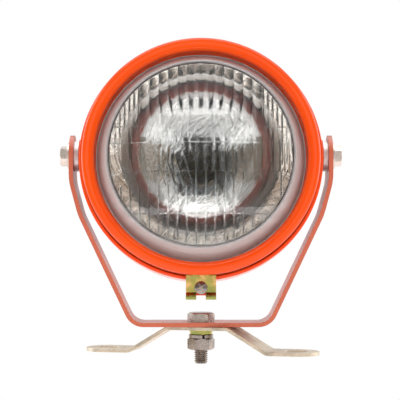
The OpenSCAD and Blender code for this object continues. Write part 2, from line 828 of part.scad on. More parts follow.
module cable_grommet() {
    outside = -housing_back - grommet_out;
    color("black") in_lamp() translate([0, -grommet_drop, 0]) rotate_extrude() polygon([
        [grommet_bore_r, outside],
        [grommet_r - grommet_out / 2, outside],
        [grommet_r, outside + grommet_out / 2],
        [grommet_r, -housing_back],
        [grommet_neck_r, -housing_back],
        [grommet_neck_r, housing_floor],
        [grommet_r, housing_floor],
        [grommet_r - grommet_in / 2, housing_floor + grommet_in],
        [grommet_bore_r, housing_floor + grommet_in]
    ]);
}

module pivot_bolt(side) {
    head_from = arm_outer + pivot_washer_t;
    color(bright_zinc) on_pivot(side) {
        translate([0, 0, head_from]) rotate([0, 0, 8]) hexagon(pivot_af, pivot_head_h);
        translate([0, 0, pivot_nut_face - pivot_tail])
            cylinder(d = pivot_d, h = head_from - pivot_nut_face + pivot_tail + cut);
    }
}

module pivot_washer(side) {
    color(bright_zinc) on_pivot(side) translate([0, 0, arm_outer])
        ring(pivot_washer_d / 2, pivot_d / 2 + snug, pivot_washer_t);
}

module pivot_spacer(side) {
    color("gainsboro") on_pivot(side) translate([0, 0, pad_face])
        ring(spacer_d / 2, pivot_d / 2 + snug, spacer_t);
}

module pivot_nut(side) {
    color(bright_zinc) on_pivot(side) translate([0, 0, pivot_nut_face]) difference() {
        cylinder(d = pivot_af / cos(30), h = pivot_nut_h, $fn = 6);
        translate([0, 0, -cut]) cylinder(d = pivot_d + snug, h = pivot_nut_h + 2 * cut);
    }
}

mount_strap();
swivel_bolt();
swivel_seat();
swivel_spring_washer();
swivel_nut();
yoke();
housing();
rim();
lens();
lens_seal();
reflector();
body_seal();
bulb_holder();
holder_insulator();
live_contact();
earth_terminal();
bulb_cap();
bulb_glass();
bulb_stem();
bulb_filament();
rim_clip();
rim_screw();
rim_nut();
cable_grommet();
pivot_bolt(-1);  // pivot_bolt_left
pivot_bolt(1);  // pivot_bolt_right
pivot_washer(-1);  // pivot_washer_left
pivot_washer(1);  // pivot_washer_right
pivot_spacer(-1);  // pivot_spacer_left
pivot_spacer(1);  // pivot_spacer_right
pivot_nut(-1);  // pivot_nut_left
pivot_nut(1);  // pivot_nut_right
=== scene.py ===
"""Dresses a tractor work light with its enamel, plating, mirror and fluted glass, on a plain pale stage.

Outlines are given in millimetres in the lamp's own frame: X to the right, Y up, and Z forward along
the lamp's axis.
"""

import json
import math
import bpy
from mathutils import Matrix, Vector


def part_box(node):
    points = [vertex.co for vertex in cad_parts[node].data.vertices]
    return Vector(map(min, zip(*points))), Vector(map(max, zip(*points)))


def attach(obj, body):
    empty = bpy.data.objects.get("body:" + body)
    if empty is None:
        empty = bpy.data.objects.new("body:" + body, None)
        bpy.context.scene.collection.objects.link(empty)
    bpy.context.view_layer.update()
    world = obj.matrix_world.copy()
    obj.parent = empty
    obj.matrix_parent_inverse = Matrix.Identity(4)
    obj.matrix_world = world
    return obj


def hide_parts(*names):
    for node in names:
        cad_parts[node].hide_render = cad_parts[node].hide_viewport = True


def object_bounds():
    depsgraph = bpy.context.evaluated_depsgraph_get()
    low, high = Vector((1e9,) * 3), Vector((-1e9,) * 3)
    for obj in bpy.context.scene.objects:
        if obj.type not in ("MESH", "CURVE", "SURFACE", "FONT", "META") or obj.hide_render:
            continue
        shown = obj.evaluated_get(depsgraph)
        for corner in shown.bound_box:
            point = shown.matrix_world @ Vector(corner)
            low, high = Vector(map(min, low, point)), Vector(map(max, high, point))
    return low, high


bl_info = {
    "name": "Tractor Work Light",
    "version": (1, 0, 0),
    "blender": (4, 5, 0),
    "location": "3D View > Sidebar > Work Light",
    "description": "Dresses a round tractor work light and sets it on a studio stage",
    "category": "Object",
}

import bmesh
import bpy
from mathutils import Matrix, Vector

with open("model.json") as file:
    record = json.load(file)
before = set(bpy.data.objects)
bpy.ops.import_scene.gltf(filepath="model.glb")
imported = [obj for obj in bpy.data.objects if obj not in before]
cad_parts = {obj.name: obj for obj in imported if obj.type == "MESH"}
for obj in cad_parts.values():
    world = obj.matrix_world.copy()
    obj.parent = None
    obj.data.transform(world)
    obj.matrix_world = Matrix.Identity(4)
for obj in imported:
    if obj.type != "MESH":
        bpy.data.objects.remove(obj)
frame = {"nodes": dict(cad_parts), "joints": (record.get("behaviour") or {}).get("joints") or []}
cad_low, cad_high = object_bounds()

MM = 0.001
FULL_TURN = 2 * math.pi
# Points closer than this, in metres, are one point
MERGE = 0.002 * MM

# The joint on which the head tips, the head's lean at rest, and how far its axis lies below the pivots
JOINTS = {joint["name"]: joint for joint in frame["joints"]}
PIVOT = Vector(JOINTS["head_tilt"]["pos_m"])
PIVOT_AXIS = Vector(JOINTS["head_tilt"]["axis"])
REST_YAW = math.atan2(PIVOT_AXIS.y, PIVOT_AXIS.x)
REST_TILT = math.radians(6)
AXIS_DROP = 4
# Takes points from the lamp's frame to the world
IN_LAMP = (
    Matrix.Translation(PIVOT)
    @ Matrix.Rotation(REST_YAW, 4, "Z")
    @ Matrix.Rotation(-REST_TILT, 4, "X")
    @ Matrix.Translation((0, 0, -AXIS_DROP * MM))
    @ Matrix.Rotation(math.pi / 2, 4, "X")
)


def lamp_reach(node):
    """Largest radius about the lamp's axis, rear end and front end of a node, in millimetres."""
    to_lamp = IN_LAMP.inverted()
    points = [to_lamp @ vertex.co for vertex in frame["nodes"][node].data.vertices]
    radius = max(math.hypot(point.x, point.y) for point in points) / MM
    along = [point.z / MM for point in points]
    return radius, min(along), max(along)


RIM_R, RIM_SKIRT_END, RIM_CREST = lamp_reach("rim")
LENS_FLANGE_R, LENS_BACK, LENS_CREST = lamp_reach("lens")
REFLECTOR_R, REFLECTOR_BACK, REFLECTOR_FRONT = lamp_reach("reflector")
HOUSING_BACK = -lamp_reach("housing")[1]

# The housing's bowl, hemmed mouth, ledge, pivot pads and cable hole, in millimetres
STEEL_T = 1.2
HOUSING_R = 86.4
HOUSING_MOUTH = 17.5
HOUSING_ROUND = 46
HEM_R = 84
HEM_LEN = 1.6
HEM_INNER_ROUND = 0.6
LEDGE_R = 74
LEDGE_BACK = 11.5
PAD_R = 12
PAD_PROUD = 0.9
PAD_ROUND = 0.5
BOLT_HOLE_R = 4.25
GROMMET_DROP = 22
GROMMET_HOLE_R = 6.55
# The housing's tab for the rim screw
TAB_W = 18
TAB_T = 1.5
TAB_END = 96.9
TAB_ROUND = 4
SCREW_DROP = 91.9
SCREW_HOLE_R = 2.75
# The rim's sheet, rounded front, lip, slot for the clip's tongue, and slits beside the clip
RIM_T = 1
RIM_NOSE_R = 3
RIM_SLOPE_W = 5.9
RIM_SLOPE_LEN = 4
RIM_LIP_R = 74
RIM_FOLD_INNER = 0.3
RIM_FOLD_OUTER = 0.9
TONGUE_SLOT_W = 12.4
TONGUE_SLOT_H = 1.6
TONGUE_AT = 23
SLIT_OFFSET = 17.6
SLIT_W = 1.6
SLIT_LEN = 5.1
# The lens, from its flange over its skirt to its domed front
LENS_BASE_R = 73.2
LENS_FRONT_R = 66
LENS_WALL = 2.6
LENS_FLANGE_T = 2.5
LENS_DOME = 10
LENS_FLANGE_ROUND = 0.4
LENS_OUTER_ROUND = 0.8
LENS_INNER_ROUND = 1
# Part of the dome that is left after the rounded shoulder takes its share
DOME_SHARE = 0.98
# The reflector's parabola, sheet, and gap to the lens
FOCAL_LEN = 30.5
BULB_OPENING_R = 10.5
REFLECTOR_T = 1
REFLECTOR_ROUND = 0.2
MOUTH_GAP = 1.4
MOUTH_R = LENS_BASE_R - LENS_WALL - MOUTH_GAP
# Steps along each curve
RIM_OUTER_STEPS = 14
RIM_INNER_STEPS = 10
BOWL_STEPS = 40
PARABOLA_STEPS = 56
DOME_STEPS = 48
PAD_STEPS = 96


class WorkLightShells(bpy.types.PropertyGroup):
    """Sizes of the turned shells."""

    spin_steps: bpy.props.IntProperty(
        name="Spin Steps", description="Faces around the rim, housing, reflector and lens",
        default=192, min=48,
    )
    edge_round: bpy.props.FloatProperty(
        name="Edge Round", description="Round on cut steel edges", default=0.35 * MM, unit="LENGTH"
    )
    hem_round: bpy.props.FloatProperty(
        name="Hem Round", description="Round on the housing's hemmed mouth", default=1.0 * MM, unit="LENGTH"
    )


class WorkLightGlass(bpy.types.PropertyGroup):
    """Sizes of the pressed pattern inside the lens."""

    flute_width: bpy.props.FloatProperty(
        name="Flute Width", description="Width of each upright flute", default=6.48 * MM, unit="LENGTH"
    )
    flute_depth: bpy.props.FloatProperty(
        name="Flute Depth", description="Depth of each flute at its edges", default=0.42 * MM, unit="LENGTH"
    )
    flute_steps: bpy.props.IntProperty(
        name="Flute Steps", description="Faces across each flute", default=14, min=4
    )
    row_step: bpy.props.FloatProperty(
        name="Row Step", description="Height of the step between rows of flutes",
        default=0.25 * MM, unit="LENGTH",
    )
    ridge_height: bpy.props.FloatProperty(
        name="Ridge Height", description="Height of the ridges between flat blocks",
        default=0.3 * MM, unit="LENGTH",
    )


class WorkLightFinish(bpy.types.PropertyGroup):
    """Colours of the finishes."""

    enamel: bpy.props.FloatVectorProperty(
        name="Enamel", description="Colour of the stove enamel",
        subtype="COLOR", default=(0.77, 0.068, 0.002),
    )
    enamel_shade: bpy.props.FloatVectorProperty(
        name="Enamel Shade", description="Enamel where it lies thicker",
        subtype="COLOR", default=(0.76, 0.055, 0.002),
    )
    faded_enamel: bpy.props.FloatVectorProperty(
        name="Faded Enamel", description="Colour of the yoke's enamel",
        subtype="COLOR", default=(0.52, 0.10, 0.034),
    )
    zinc: bpy.props.FloatVectorProperty(
        name="Zinc", description="Colour of the strap's plating",
        subtype="COLOR", default=(0.55, 0.48, 0.37),
    )
    bright_zinc: bpy.props.FloatVectorProperty(
        name="Bright Zinc", description="Colour of the fasteners' plating",
        subtype="COLOR", default=(0.33, 0.29, 0.26),
    )
    yellow_zinc: bpy.props.FloatVectorProperty(
        name="Yellow Zinc", description="Colour of the yellow plating",
        subtype="COLOR", default=(0.38, 0.345, 0.10),
    )


class WorkLightStage(bpy.types.PropertyGroup):
    """The camera, floor and light."""

    camera_distance: bpy.props.FloatProperty(
        name="Camera Distance", description="Distance of the camera from the object's upright axis",
        default=0.9, unit="LENGTH",
    )
    camera_height: bpy.props.FloatProperty(
        name="Camera Height", description="Height of the camera above the strap's feet",
        default=0.093, unit="LENGTH",
    )
    camera_tilt: bpy.props.FloatProperty(
        name="Camera Tilt", description="Turn of the camera up from looking straight down",
        default=math.radians(91.05), unit="ROTATION",
    )
    focal_length: bpy.props.FloatProperty(
        name="Focal Length", description="Focal length of the camera, in millimetres",
        default=112.5, unit="CAMERA",
    )
    surround: bpy.props.FloatProperty(
        name="Surround", description="Brightness of the pale surround", default=1.0, min=0
    )


def rounded(corners, steps=5):
    """Outline whose corners (x, y, radius) are turned into arcs; a radius of 0 leaves a plain point."""
    points = []
    for i, (x, y, radius) in enumerate(corners):
        here = Vector((x, y))
        if radius == 0:
            points.append(here)
            continue
        back = (Vector(corners[i - 1][:2]) - here).normalized()
        ahead = (Vector(corners[(i + 1) % len(corners)][:2]) - here).normalized()
        half = back.angle(ahead) / 2
        centre = here + (back + ahead).normalized() * radius / math.sin(half)
        start = here + back * radius / math.tan(half) - centre
        end = here + ahead * radius / math.tan(half) - centre
        first = math.atan2(start.y, start.x)
        sweep = math.remainder(math.atan2(end.y, end.x) - first, FULL_TURN)
        for k in range(steps + 1):
            at = first + sweep * k / steps
            points.append(centre + radius * Vector((math.cos(at), math.sin(at))))
    return points


def arc(centre, size, start, end, steps):
    """Corners along an oval of given half width and height about a centre, from start to end degrees."""
    corners = []
    for k in range(steps + 1):
        at = math.radians(start + (end - start) * k / steps)
        corners.append((centre[0] + size[0] * math.cos(at), centre[1] + size[1] * math.sin(at), 0))
    return corners


def spin(corners, steps, is_open=False):
    """Mesh of a half section of (radius, height) corners, turned once about the Z axis."""
    mesh = bmesh.new()
    outline = rounded(corners)
    verts = [mesh.verts.new((point.x * MM, 0, point.y * MM)) for point in outline]
    pairs = list(zip(verts, verts[1:]))
    if not is_open:
        pairs.append((verts[-1], verts[0]))
    edges = [mesh.edges.new(pair) for pair in pairs if pair[0].co.x > 0 or pair[1].co.x > 0]
    bmesh.ops.spin(
        mesh, geom=verts + edges, cent=(0, 0, 0), axis=(0, 0, 1),
        angle=FULL_TURN, steps=steps, use_merge=True,
    )
    bmesh.ops.remove_doubles(mesh, verts=mesh.verts, dist=MERGE)
    bmesh.ops.recalc_face_normals(mesh, faces=mesh.faces)
    return mesh


def box(low, high):
    """Closed box mesh between two corners in millimetres."""
    mesh = bmesh.new()
    low, high = Vector(low) * MM, Vector(high) * MM
    size = high - low
    place = Matrix.Translation((low + high) / 2) @ Matrix.Diagonal((size.x, size.y, size.z, 1))
    bmesh.ops.create_cube(mesh, size=1, matrix=place)
    return mesh


def round_bar(radius, low, high, place=Matrix.Identity(4), edge=0, steps=64):
    """Placed round bar along its own Z between two heights, in millimetres, with a rounded top edge."""
    mesh = spin([(0, low, 0), (radius, low, 0), (radius, high, edge), (0, high, 0)], steps)
    mesh.transform(place)
    return mesh


def joined(meshes):
    """One mesh of several, which are used up."""
    whole = meshes[0]
    for mesh in meshes[1:]:
        part = bpy.data.meshes.new("part")
        mesh.to_mesh(part)
        mesh.free()
        whole.from_mesh(part)
        bpy.data.meshes.remove(part)
    return whole


def scratch_object(mesh):
    """Passing object that holds a mesh while a modifier works on it."""
    data = bpy.data.meshes.new("scratch")
    mesh.to_mesh(data)
    mesh.free()
    holder = bpy.data.objects.new("scratch", data)
    bpy.context.scene.collection.objects.link(holder)
    return holder


def boolean(mesh, tool, operation):
    """The mesh after a boolean with another mesh. Both are used up."""
    target, cutter = scratch_object(mesh), scratch_object(tool)
    modifier = target.modifiers.new("boolean", "BOOLEAN")
    modifier.operation = operation
    modifier.solver = "EXACT"
    modifier.object = cutter
    graph = bpy.context.evaluated_depsgraph_get()
    made = bpy.data.meshes.new_from_object(target.evaluated_get(graph))
    result = bmesh.new()
    result.from_mesh(made)
    for holder in (target, cutter):
        data = holder.data
        bpy.data.objects.remove(holder)
        bpy.data.meshes.remove(data)
    bpy.data.meshes.remove(made)
    if not result.faces:
        raise RuntimeError(f"a boolean {operation} left nothing")
    return result


def add_piece(name, mesh, body, material, replaced, sharp=32):
    """New piece from a mesh in metres, smooth but for edges sharper than some degrees."""
    data = bpy.data.meshes.new(name)
    mesh.to_mesh(data)
    mesh.free()
    data.shade_smooth()
    data.set_sharp_from_angle(angle=math.radians(sharp))
    data.materials.append(material)
    piece = bpy.data.objects.new(name, data)
    bpy.context.scene.collection.objects.link(piece)
    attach(piece, body)
    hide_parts(*replaced)
    return piece


def in_lamp(mesh):
    """The mesh, moved from the lamp's frame to the world."""
    mesh.transform(IN_LAMP)
    return mesh


def node_mesh(node):
    """Merged copy of a node's mesh, with its flat faces whole."""
    mesh = bmesh.new()
    mesh.from_mesh(frame["nodes"][node].data)
    bmesh.ops.remove_doubles(mesh, verts=mesh.verts, dist=MERGE)
    bmesh.ops.dissolve_limit(
        mesh, angle_limit=math.radians(0.5), use_dissolve_boundaries=False,
        verts=mesh.verts, edges=mesh.edges, delimit=set(),
    )
    return mesh


def soften(piece, width, angle=35):
    """Rounds a piece's edges, width in millimetres."""
    bevel = piece.modifiers.new("edges", "BEVEL")
    bevel.width = width * MM
    bevel.segments = 3
    bevel.limit_method = "ANGLE"
    bevel.angle_limit = math.radians(angle)
    bevel.harden_normals = True
    return piece


def dressed(node, name, body, material, edge):
    """Piece with a node's shape and softened edges."""
    return soften(add_piece(name, node_mesh(node), body, material, [node]), edge)


def finish_nodes(material, *nodes):
    """Gives CAD nodes their material."""
    for node in nodes:
        data = frame["nodes"][node].data
        data.materials.clear()
        data.materials.append(material)


def new_material(name, sockets):
    """Material whose Principled shader has these constant socket values, and its node tree and shader."""
    made = bpy.data.materials.new(name)
    made.use_nodes = True
    tree = made.node_tree
    shader = tree.nodes["Principled BSDF"]
    for socket, value in sockets.items():
        shader.inputs[socket].default_value = value
    return made, tree, shader


def noise(tree, scale, detail, stretch=(1, 1, 1)):
    """Noise on the object's own coordinates, in cycles a metre."""
    coordinates = tree.nodes.new("ShaderNodeTexCoord")
    mapping = tree.nodes.new("ShaderNodeMapping")
    mapping.inputs["Scale"].default_value = stretch
    texture = tree.nodes.new("ShaderNodeTexNoise")
    texture.inputs["Scale"].default_value = scale
    texture.inputs["Detail"].default_value = detail
    tree.links.new(coordinates.outputs["Object"], mapping.inputs["Vector"])
    tree.links.new(mapping.outputs["Vector"], texture.inputs["Vector"])
    return texture.outputs["Fac"]


def spread(tree, factor, low, high, start=0.3, end=0.7):
    """Remaps a factor to a range of values."""
    node = tree.nodes.new("ShaderNodeMapRange")
    node.inputs["From Min"].default_value = start
    node.inputs["From Max"].default_value = end
    node.inputs["To Min"].default_value = low
    node.inputs["To Max"].default_value = high
    tree.links.new(factor, node.inputs["Value"])
    return node.outputs["Result"]


def blend_colours(tree, factor, colours, places):
    """Colour ramp over a factor."""
    ramp = tree.nodes.new("ShaderNodeValToRGB")
    stops = ramp.color_ramp.elements
    while len(stops) < len(colours):
        stops.new(0.5)
    for stop, colour, place in zip(stops, colours, places):
        stop.position = place
        stop.color = (*colour[:3], 1)
    tree.links.new(factor, ramp.inputs["Fac"])
    return ramp.outputs["Color"]


def bump(tree, shader, height, distance, strength):
    """Bump of a height, distance in millimetres."""
    node = tree.nodes.new("ShaderNodeBump")
    node.inputs["Distance"].default_value = distance * MM
    node.inputs["Strength"].default_value = strength
    tree.links.new(height, node.inputs["Height"])
    tree.links.new(node.outputs["Normal"], shader.inputs["Normal"])


# Highest value that a scaled colour's channels reach
PALEST = 0.95


def colour_of(setting):
    """A colour from the finish settings."""
    return getattr(bpy.context.scene.work_light_finish, setting)


def scaled(colour, factor):
    """A colour times a factor, no channel above the palest value."""
    return [min(channel * factor, PALEST) for channel in colour]


def mottled(name, sockets, colours, places, tint, gloss, roughness, relief=None, depth=0, strength=0):
    """Material with a mottled colour, an uneven gloss and, where one is given, a fine relief.

    Tint, gloss and relief each give a noise's grain, in cycles a metre, its detail and, if any, its stretch.
    Places say where the colours lie on the tint. The relief's depth is in millimetres.
    """
    made, tree, shader = new_material(name, sockets)
    colour = blend_colours(tree, noise(tree, *tint), colours, places)
    tree.links.new(colour, shader.inputs["Base Color"])
    tree.links.new(spread(tree, noise(tree, *gloss), *roughness), shader.inputs["Roughness"])
    if relief:
        bump(tree, shader, noise(tree, *relief), depth, strength)
    return made


def enamel():
    """Glossy orange stove enamel with a faint orange-peel surface."""
    return mottled(
        "orange_enamel",
        {"Coat Weight": 0.5, "Coat Roughness": 0.06, "Coat IOR": 1.5, "Specular IOR Level": 0.05},
        colours=(colour_of("enamel_shade"), colour_of("enamel")), places=(0.25, 0.62),
        tint=(22, 4), gloss=(60, 5), roughness=(0.3, 0.42),
        relief=(520, 2), depth=0.05, strength=0.35,
    )


def faded_enamel():
    """Duller, weathered enamel of the yoke."""
    fresh = colour_of("faded_enamel")
    return mottled(
        "faded_enamel",
        {"Coat Weight": 0.35, "Coat Roughness": 0.2, "Coat IOR": 1.5},
        colours=(scaled(fresh, 0.88), fresh), places=(0.3, 0.65),
        tint=(30, 5), gloss=(80, 5), roughness=(0.35, 0.5),
        relief=(520, 2), depth=0.05, strength=0.35,
    )


def plating(name, colours, places, roughness, grain, scratch=(1, 1, 1), bareness=1.0):
    """Zinc plate with a mottled tint, uneven gloss and fine marks."""
    return mottled(
        name, {"Metallic": bareness}, colours, places,
        tint=(grain, 6), gloss=(grain * 3, 5), roughness=roughness,
        relief=(700, 4, scratch), depth=0.06, strength=0.4,
    )


def strap_zinc():
    """Dull, warm zinc on rolled steel, with marks along the strap."""
    zinc = colour_of("zinc")
    return plating(
        "strap_zinc", colours=(scaled(zinc, 0.62), zinc, scaled(zinc, 1.15)), places=(0.3, 0.5, 0.72),
        roughness=(0.34, 0.52), grain=70, scratch=(0.25, 1, 1), bareness=0.8,
    )


def fastener_zinc():
    """Bright zinc on the swivel's and the rim's fasteners."""
    zinc = colour_of("bright_zinc")
    return plating(
        "fastener_zinc", colours=(scaled(zinc, 0.6), zinc, scaled(zinc, 1.2)), places=(0.28, 0.5, 0.75),
        roughness=(0.22, 0.42), grain=140,
    )


def pivot_zinc():
    """Brighter zinc of the pivots' bolts and washers."""
    zinc = colour_of("bright_zinc")
    return plating(
        "pivot_zinc", colours=[scaled(zinc, factor) for factor in (1.4, 1.9, 2.2)],
        places=(0.28, 0.5, 0.75), roughness=(0.25, 0.42), grain=140, bareness=0.6,
    )


def chromate_zinc():
    """Zinc passivated yellow, with green and copper tints."""
    green = (0.27, 0.31, 0.09)
    copper = (0.78, 0.50, 0.23)
    return plating(
        "chromate_zinc", colours=(green, colour_of("yellow_zinc"), copper), places=(0.36, 0.5, 0.66),
        roughness=(0.2, 0.36), grain=95, scratch=(1, 1, 0.4),
    )


def lamp_radius(tree):
    """Distance from the lamp's axis, in metres."""
    coordinates = tree.nodes.new("ShaderNodeTexCoord")
    into = tree.nodes.new("ShaderNodeMapping")
    into.vector_type = "TEXTURE"
    into.inputs["Location"].default_value = IN_LAMP.to_translation()
    into.inputs["Rotation"].default_value = IN_LAMP.to_euler()
    flat = tree.nodes.new("ShaderNodeVectorMath")
    flat.operation = "MULTIPLY"
    flat.inputs[1].default_value = (1, 1, 0)
    length = tree.nodes.new("ShaderNodeVectorMath")
    length.operation = "LENGTH"
    tree.links.new(coordinates.outputs["Object"], into.inputs["Vector"])
    tree.links.new(into.outputs["Vector"], flat.inputs[0])
    tree.links.new(flat.outputs["Vector"], length.inputs[0])
    return length.outputs["Value"]


def combine(tree, operation, first, second=0):
    """Result of a math operation on two outputs or plain values."""
    node = tree.nodes.new("ShaderNodeMath")
    node.operation = operation
    for socket, value in zip(node.inputs, (first, second)):
        if isinstance(value, (int, float)):
            socket.default_value = value
        else:
            tree.links.new(value, socket)
    return node.outputs["Value"]


# The lens is clear out to the first radius, in millimetres, and satin from the second one on
CLEAR_UNTIL = 63.8
SATIN_FROM = LENS_FRONT_R + 0.3
CLEAR_GLASS = (0.985, 0.99, 0.985)
SATIN_GLASS = (0.97, 0.94, 0.92)
# Share of the light that the satin stops, its roughness, and the pitch of its fine ribs in metres
SATIN_COVER = 0.4
SATIN_ROUGHNESS = 0.12
RIB_PITCH = 1.1 * MM


def pressed_glass():
    """Clear pressed glass with a slight waviness, and a paler satin skirt with fine ribs."""
    made, tree, shader = new_material("pressed_glass", {"IOR": 1.5})
    radius = lamp_radius(tree)
    skirt = spread(tree, radius, low=0.0, high=1.0, start=CLEAR_UNTIL * MM, end=SATIN_FROM * MM)
    tint = blend_colours(tree, skirt, colours=(CLEAR_GLASS, SATIN_GLASS), places=(0, 1))
    tree.links.new(tint, shader.inputs["Base Color"])
    covered = combine(tree, "MULTIPLY", skirt, SATIN_COVER)
    tree.links.new(combine(tree, "SUBTRACT", 1, covered), shader.inputs["Transmission Weight"])
    satin = combine(tree, "MULTIPLY", skirt, SATIN_ROUGHNESS)
    haze = spread(tree, noise(tree, scale=35, detail=3), low=0.0, high=0.015)
    tree.links.new(combine(tree, "ADD", satin, haze), shader.inputs["Roughness"])
    ribs = combine(tree, "SINE", combine(tree, "MULTIPLY", radius, FULL_TURN / RIB_PITCH))
    waves = combine(tree, "ADD", combine(tree, "MULTIPLY", ribs, skirt), noise(tree, scale=70, detail=1))
    bump(tree, shader, waves, distance=0.06, strength=0.25)
    return made


def thin_glass():
    """Clear blown glass of the bulb, so thin that it hardly bends light."""
    return mottled(
        "bulb_clear_glass", {"Alpha": 0.015, "IOR": 1.45},
        colours=((0.5, 0.5, 0.49), (0.6, 0.6, 0.6)), places=(0.3, 0.7),
        tint=(60, 2), gloss=(200, 2), roughness=(0.0, 0.04),
    )


def mirror():
    """Vacuum metallised mirror with faint haze."""
    return mottled(
        "metallised_mirror", {"Metallic": 1.0},
        colours=((0.95, 0.945, 0.94), (0.985, 0.98, 0.975)), places=(0.3, 0.6),
        tint=(30, 3), gloss=(45, 4), roughness=(0.01, 0.04),
    )


def rubber():
    """Matt black rubber with a fine bloom."""
    return mottled(
        "black_rubber", {"Specular IOR Level": 0.35},
        colours=((0.012, 0.012, 0.013), (0.04, 0.039, 0.038)), places=(0.35, 0.75),
        tint=(160, 4), gloss=(300, 3), roughness=(0.5, 0.75),
        relief=(1400, 3), depth=0.04, strength=0.5,
    )


def insulator():
    """Brown moulded insulator with a swirled tone."""
    return mottled(
        "brown_insulator_moulding", {"Coat Weight": 0.2, "Coat Roughness": 0.2},
        colours=((0.09, 0.035, 0.014), (0.2, 0.085, 0.035)), places=(0.3, 0.7),
        tint=(240, 5), gloss=(300, 3), roughness=(0.32, 0.5),
        relief=(900, 3), depth=0.03, strength=0.4,
    )


def brass():
    """Stamped brass, dulled in patches."""
    return mottled(
        "stamped_brass", {"Metallic": 1.0},
        colours=((0.34, 0.24, 0.09), (0.56, 0.42, 0.19)), places=(0.3, 0.65),
        tint=(180, 5), gloss=(260, 4), roughness=(0.2, 0.42),
        relief=(1100, 3), depth=0.03, strength=0.4,
    )


def tungsten():
    """Dark drawn tungsten."""
    return mottled(
        "drawn_tungsten", {"Metallic": 1.0},
        colours=((0.12, 0.12, 0.13), (0.3, 0.3, 0.31)), places=(0.3, 0.7),
        tint=(600, 3), gloss=(900, 2), roughness=(0.35, 0.5),
    )


def satin_aluminium():
    """Pale turned aluminium of the spacers."""
    return mottled(
        "satin_aluminium", {"Metallic": 0.75},
        colours=((0.58, 0.54, 0.53), (0.82, 0.76, 0.75)), places=(0.3, 0.6),
        tint=(130, 5), gloss=(240, 4), roughness=(0.34, 0.5),
        relief=(900, 3), depth=0.03, strength=0.5,
    )


# Light that the floor gives off by itself, so that it stays pale under soft light
PAPER_GLOW = 0.58


def stage_paper():
    """Plain pale floor."""
    made, tree, shader = new_material(
        "stage_paper", {"Roughness": 0.9, "Specular IOR Level": 0.1, "Emission Strength": PAPER_GLOW}
    )
    shader.inputs["Emission Color"].default_value = (1, 1, 1, 1)
    whites = ((0.93, 0.93, 0.93), (0.96, 0.96, 0.955))
    colour = blend_colours(tree, noise(tree, scale=3, detail=3), whites, places=(0.2, 0.8))
    tree.links.new(colour, shader.inputs["Base Color"])
    return made


MAKERS = {
    "enamel": enamel,
    "faded": faded_enamel,
    "strap": strap_zinc,
    "fastener": fastener_zinc,
    "pivot": pivot_zinc,
    "chromate": chromate_zinc,
    "glass": pressed_glass,
    "bulb": thin_glass,
    "mirror": mirror,
    "rubber": rubber,
    "insulator": insulator,
    "brass": brass,
    "tungsten": tungsten,
    "spacer": satin_aluminium,
    "paper": stage_paper,
}
made_finishes = {}


def finish_of(kind):
    """The material of a kind, made at its first use."""
    if kind not in made_finishes:
        made_finishes[kind] = MAKERS[kind]()
    return made_finishes[kind]


def rim_front(behind, steps):
    """Corners of the rim's rounded front from skirt to wall, or of a surface some way behind it."""
    mid_r = RIM_R - RIM_NOSE_R
    nose_size = (RIM_NOSE_R - behind, RIM_NOSE_R - behind)
    slope_size = (RIM_SLOPE_W - behind, RIM_SLOPE_LEN - behind)
    nose = arc((mid_r, RIM_CREST - RIM_NOSE_R), nose_size, 0, 90, steps)
    slope = arc((mid_r, RIM_CREST - RIM_SLOPE_LEN), slope_size, 90, 180, 2 * steps)
    return nose + slope[1:]


def rim_section(edge):
    """Half section of the rim: rolled skirt, broad rounded front, wall and lip."""
    wall_r = RIM_R - RIM_NOSE_R - RIM_SLOPE_W
    rim_back = LENS_BACK + LENS_FLANGE_T
    return (
        [(RIM_R, RIM_SKIRT_END, edge)]
        + rim_front(0, RIM_OUTER_STEPS)
        + [
            (wall_r, rim_back + RIM_T, RIM_FOLD_INNER),
            (RIM_LIP_R, rim_back + RIM_T, edge),
            (RIM_LIP_R, rim_back, edge),
            (wall_r + RIM_T, rim_back, RIM_FOLD_OUTER),
        ]
        + rim_front(RIM_T, RIM_INNER_STEPS)[::-1]
        + [(RIM_R - RIM_T, RIM_SKIRT_END, edge)]
    )


def make_rim(shells):
    """Rim with its slot for the clip's tongue and the short slits on both sides of the clip."""
    ring = spin(rim_section(shells.edge_round / MM), shells.spin_steps)
    taken = [
        box(
            (-TONGUE_SLOT_W / 2, -RIM_R - RIM_T, TONGUE_AT - TONGUE_SLOT_H / 2),
            (TONGUE_SLOT_W / 2, -RIM_R + 2 * RIM_T, TONGUE_AT + TONGUE_SLOT_H / 2),
        )
    ]
    for side in (-1, 1):
        middle = side * SLIT_OFFSET
        taken.append(box(
            (middle - SLIT_W / 2, -RIM_R - RIM_T, RIM_SKIRT_END - RIM_T),
            (middle + SLIT_W / 2, 2 * RIM_NOSE_R - RIM_R - RIM_T, RIM_SKIRT_END + SLIT_LEN),
        ))
    ring = boolean(ring, joined(taken), "DIFFERENCE")
    add_piece("rim_ring", in_lamp(ring), "head", finish_of("enamel"), ["rim"])


